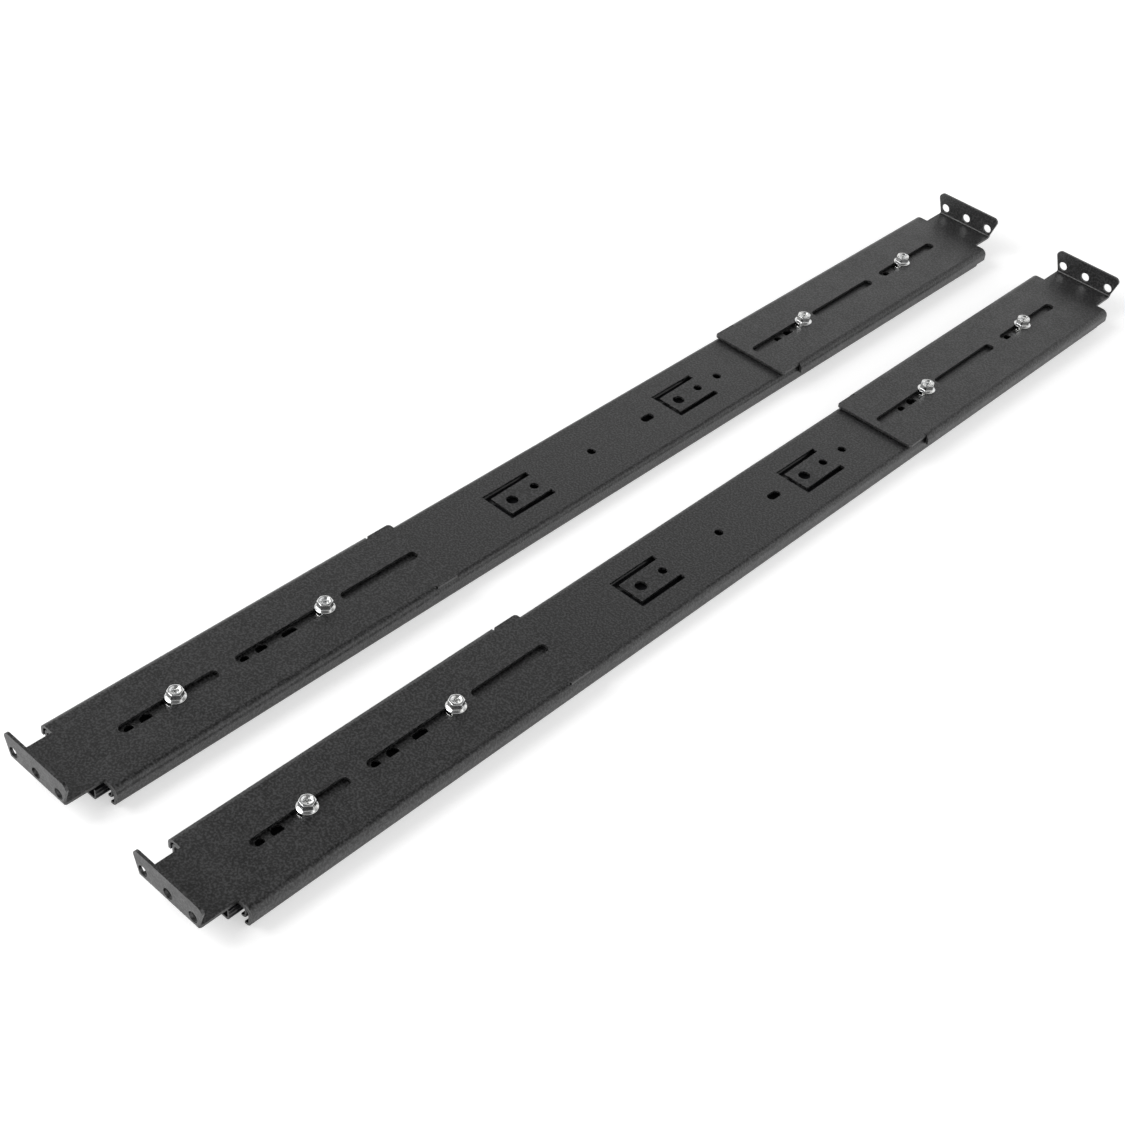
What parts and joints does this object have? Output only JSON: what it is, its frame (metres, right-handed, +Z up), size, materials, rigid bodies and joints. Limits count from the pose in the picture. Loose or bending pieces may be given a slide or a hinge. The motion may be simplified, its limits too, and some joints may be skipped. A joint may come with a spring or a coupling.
{
  "type": "sliding server rail pair",
  "caption": "Pair of depth-adjustable telescopic ball slides with slotted ear brackets, which carry a sliding chassis between the posts of a rack.",
  "frame": {"origin": "centre of the pair's footprint, on the surface that the rails lie on", "axes": "+X across the rails to the right rail, +Y along the rails from the front ears to the rear ears, +Z up, away from the chassis side"},
  "size_m": [0.142, 0.702, 0.0262],
  "materials": {
    "powder_coat": "fine-textured satin black powder coat on sheet steel",
    "black_coat": "thin satin black electro-deposited coat on cold-rolled steel",
    "bright_zinc": "bright zinc plating",
    "lever_zinc": "zinc-plated stamped steel",
    "cage_steel": "plain cold-rolled strip, lightly oiled",
    "ball_steel": "polished bearing steel",
    "spring_steel": "oil-tempered spring wire",
    "black_rubber": "matt moulded rubber"
  },
  "bodies": {
    "outer_members": {"left_outer_member": "powder_coat", "left_front_screws": "bright_zinc", "left_rear_screws": "bright_zinc", "left_front_clinch_nuts": "bright_zinc", "left_rear_clinch_nuts": "bright_zinc", "left_rear_buffer": "black_rubber", "left_outer_stop_stud": "bright_zinc", "right_outer_member": "powder_coat", "right_front_screws": "bright_zinc", "right_rear_screws": "bright_zinc", "right_front_clinch_nuts": "bright_zinc", "right_rear_clinch_nuts": "bright_zinc", "right_rear_buffer": "black_rubber", "right_outer_stop_stud": "bright_zinc"},
    "left_front_bracket_body": {"left_front_bracket": "powder_coat"},
    "left_rear_bracket_body": {"left_rear_bracket": "powder_coat"},
    "left_intermediate": {"left_intermediate_member": "black_coat", "left_middle_buffer": "black_rubber", "left_intermediate_stop_stud": "bright_zinc", "left_lever_catch": "bright_zinc", "left_catch_rivet": "bright_zinc"},
    "left_inner": {"left_inner_member": "black_coat", "left_pivot_rivet": "bright_zinc", "left_lever_spring": "spring_steel"},
    "left_lever": {"left_release_lever": "lever_zinc"},
    "left_outer_cage": {"left_outer_ball_cage": "cage_steel", "left_outer_balls": "ball_steel"},
    "left_inner_cage": {"left_inner_ball_cage": "cage_steel", "left_inner_balls": "ball_steel"},
    "right_front_bracket_body": {"right_front_bracket": "powder_coat"},
    "right_rear_bracket_body": {"right_rear_bracket": "powder_coat"},
    "right_intermediate": {"right_intermediate_member": "black_coat", "right_middle_buffer": "black_rubber", "right_intermediate_stop_stud": "bright_zinc", "right_lever_catch": "bright_zinc", "right_catch_rivet": "bright_zinc"},
    "right_inner": {"right_inner_member": "black_coat", "right_pivot_rivet": "bright_zinc", "right_lever_spring": "spring_steel"},
    "right_lever": {"right_release_lever": "lever_zinc"},
    "right_outer_cage": {"right_outer_ball_cage": "cage_steel", "right_outer_balls": "ball_steel"},
    "right_inner_cage": {"right_inner_ball_cage": "cage_steel", "right_inner_balls": "ball_steel"}
  },
  "joints": [
    {"name": "left_front_bracket_slide", "type": "slide", "parent": "outer_members", "child": "left_front_bracket_body", "axis": [0, 1, 0], "range_m": [0, 0.0275]},
    {"name": "left_rear_bracket_slide", "type": "slide", "parent": "outer_members", "child": "left_rear_bracket_body", "axis": [0, 1, 0], "range_m": [0, 0.019]},
    {"name": "left_intermediate_slide", "type": "slide", "parent": "outer_members", "child": "left_intermediate", "axis": [0, -1, 0], "range_m": [0, 0.33]},
    {"name": "left_inner_slide", "type": "slide", "parent": "left_intermediate", "child": "left_inner", "axis": [0, -1, 0], "range_m": [0, 0.33]},
    {"name": "left_lever_hinge", "type": "hinge", "parent": "left_inner", "child": "left_lever", "pos_m": [-0.044, 0.0582, 0], "axis": [0, 0, 1], "range_deg": [-7.5, 0], "stiffness_Nm_per_rad": 0.05, "springref_deg": 8.59, "deforming": ["left_lever_spring"]},
    {"name": "left_outer_cage_slide", "type": "slide", "parent": "outer_members", "child": "left_outer_cage", "axis": [0, -1, 0], "range_m": [0, 0.165]},
    {"name": "left_inner_cage_slide", "type": "slide", "parent": "left_intermediate", "child": "left_inner_cage", "axis": [0, -1, 0], "range_m": [0, 0.165]},
    {"name": "right_front_bracket_slide", "type": "slide", "parent": "outer_members", "child": "right_front_bracket_body", "axis": [0, 1, 0], "range_m": [0, 0.0275]},
    {"name": "right_rear_bracket_slide", "type": "slide", "parent": "outer_members", "child": "right_rear_bracket_body", "axis": [0, 1, 0], "range_m": [0, 0.019]},
    {"name": "right_intermediate_slide", "type": "slide", "parent": "outer_members", "child": "right_intermediate", "axis": [0, -1, 0], "range_m": [0, 0.33]},
    {"name": "right_inner_slide", "type": "slide", "parent": "right_intermediate", "child": "right_inner", "axis": [0, -1, 0], "range_m": [0, 0.33]},
    {"name": "right_lever_hinge", "type": "hinge", "parent": "right_inner", "child": "right_lever", "pos_m": [0.044, 0.0582, 0], "axis": [0, 0, 1], "range_deg": [-7.5, 0], "stiffness_Nm_per_rad": 0.05, "springref_deg": 8.59, "deforming": ["right_lever_spring"]},
    {"name": "right_outer_cage_slide", "type": "slide", "parent": "outer_members", "child": "right_outer_cage", "axis": [0, -1, 0], "range_m": [0, 0.165]},
    {"name": "right_inner_cage_slide", "type": "slide", "parent": "right_intermediate", "child": "right_inner_cage", "axis": [0, -1, 0], "range_m": [0, 0.165]}
  ],
  "couplings": [
    {"joint": "left_outer_cage_slide", "follows": "left_intermediate_slide", "ratio": 0.5},
    {"joint": "left_inner_cage_slide", "follows": "left_inner_slide", "ratio": 0.5},
    {"joint": "right_outer_cage_slide", "follows": "right_intermediate_slide", "ratio": 0.5},
    {"joint": "right_inner_cage_slide", "follows": "right_inner_slide", "ratio": 0.5}
  ]
}
